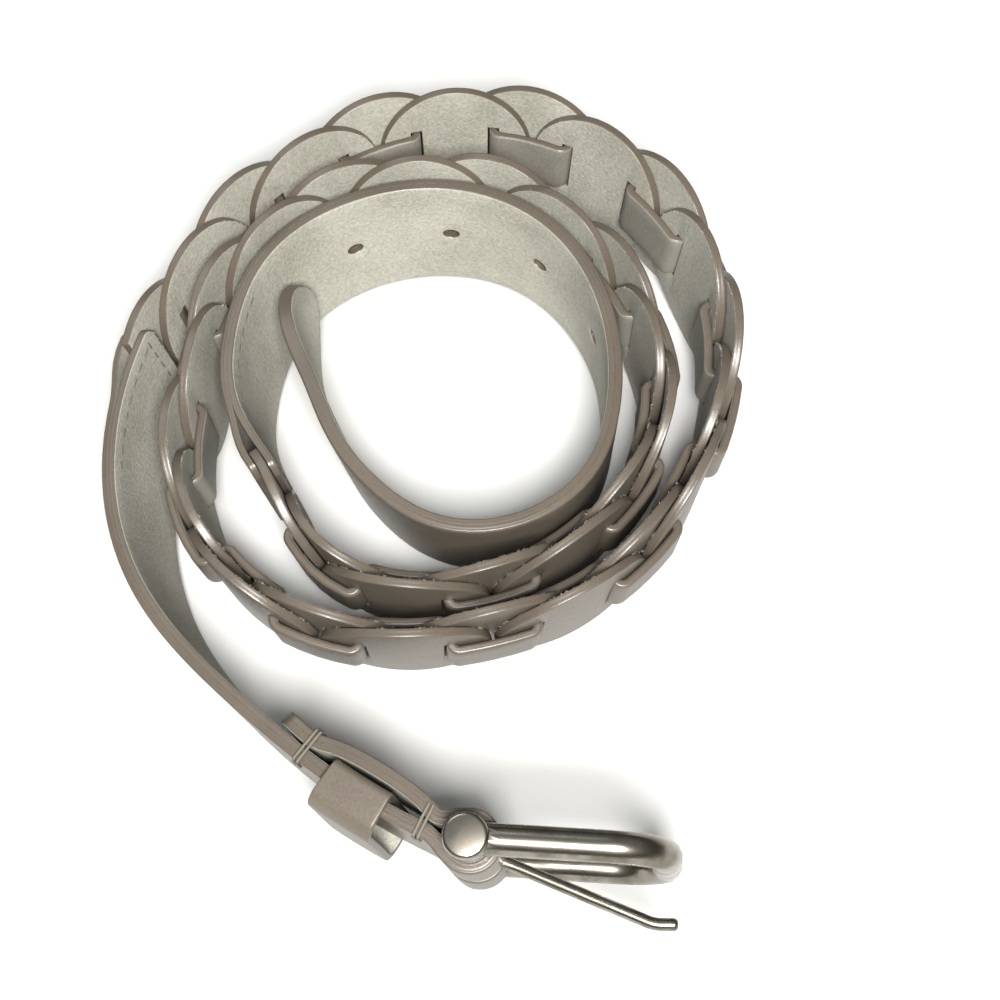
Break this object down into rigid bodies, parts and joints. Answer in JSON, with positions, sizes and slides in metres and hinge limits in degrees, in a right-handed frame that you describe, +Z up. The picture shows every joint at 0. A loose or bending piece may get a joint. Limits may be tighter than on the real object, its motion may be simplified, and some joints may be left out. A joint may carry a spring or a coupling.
{
  "type": "disc link belt",
  "caption": "Coiled leather belt of overlapping round discs held by a woven flat lace, with a holed strap end, keeper, horseshoe buckle and prong.",
  "frame": {"origin": "centre of the box that holds the coiled belt, on the floor it stands on", "axes": "+Z up out of the coil, +X to the viewer's right, +Y away from the viewer, with the buckle towards -Y"},
  "size_m": [0.1132, 0.1606, 0.0399],
  "materials": {
    "taupe_grain_leather": "smooth taupe grain with burnished edges",
    "pale_flesh_leather": "pale fibrous flesh side",
    "lace_leather": "smooth taupe grain",
    "nickel": "worn nickel plate"
  },
  "bodies": {
    "belt": {"billet_inner_ply": "pale_flesh_leather", "billet_outer_ply": "taupe_grain_leather", "buckle_strap_inner_ply": "pale_flesh_leather", "buckle_strap_outer_ply": "taupe_grain_leather", "inner_disc_01": "pale_flesh_leather", "inner_disc_02": "pale_flesh_leather", "inner_disc_03": "pale_flesh_leather", "inner_disc_04": "pale_flesh_leather", "inner_disc_05": "pale_flesh_leather", "inner_disc_06": "pale_flesh_leather", "inner_disc_07": "pale_flesh_leather", "inner_disc_08": "pale_flesh_leather", "inner_disc_09": "pale_flesh_leather", "inner_disc_10": "pale_flesh_leather", "inner_disc_11": "pale_flesh_leather", "inner_disc_12": "pale_flesh_leather", "inner_disc_13": "pale_flesh_leather", "inner_disc_14": "pale_flesh_leather", "inner_disc_15": "pale_flesh_leather", "inner_disc_16": "pale_flesh_leather", "inner_disc_17": "pale_flesh_leather", "inner_disc_18": "pale_flesh_leather", "keeper": "taupe_grain_leather", "lace": "lace_leather", "outer_disc_01": "taupe_grain_leather", "outer_disc_02": "taupe_grain_leather", "outer_disc_03": "taupe_grain_leather", "outer_disc_04": "taupe_grain_leather", "outer_disc_05": "taupe_grain_leather", "outer_disc_06": "taupe_grain_leather", "outer_disc_07": "taupe_grain_leather", "outer_disc_08": "taupe_grain_leather", "outer_disc_09": "taupe_grain_leather", "outer_disc_10": "taupe_grain_leather", "outer_disc_11": "taupe_grain_leather", "outer_disc_12": "taupe_grain_leather", "outer_disc_13": "taupe_grain_leather", "outer_disc_14": "taupe_grain_leather", "outer_disc_15": "taupe_grain_leather", "outer_disc_16": "taupe_grain_leather", "outer_disc_17": "taupe_grain_leather", "outer_disc_18": "taupe_grain_leather", "outer_disc_19": "taupe_grain_leather"},
    "buckle": {"buckle_frame": "nickel"},
    "prong": {"prong": "nickel"}
  },
  "joints": [
    {"name": "buckle_swing", "type": "hinge", "parent": "belt", "child": "buckle", "pos_m": [0.00882, -0.06642, 0.01995], "axis": [-0.0745, -0.1812, 0.9806], "range_deg": [-60, 40]},
    {"name": "prong_swing", "type": "hinge", "parent": "buckle", "child": "prong", "pos_m": [0.00882, -0.06642, 0.01995], "axis": [-0.0745, -0.1812, 0.9806], "range_deg": [-50, 8]}
  ]
}
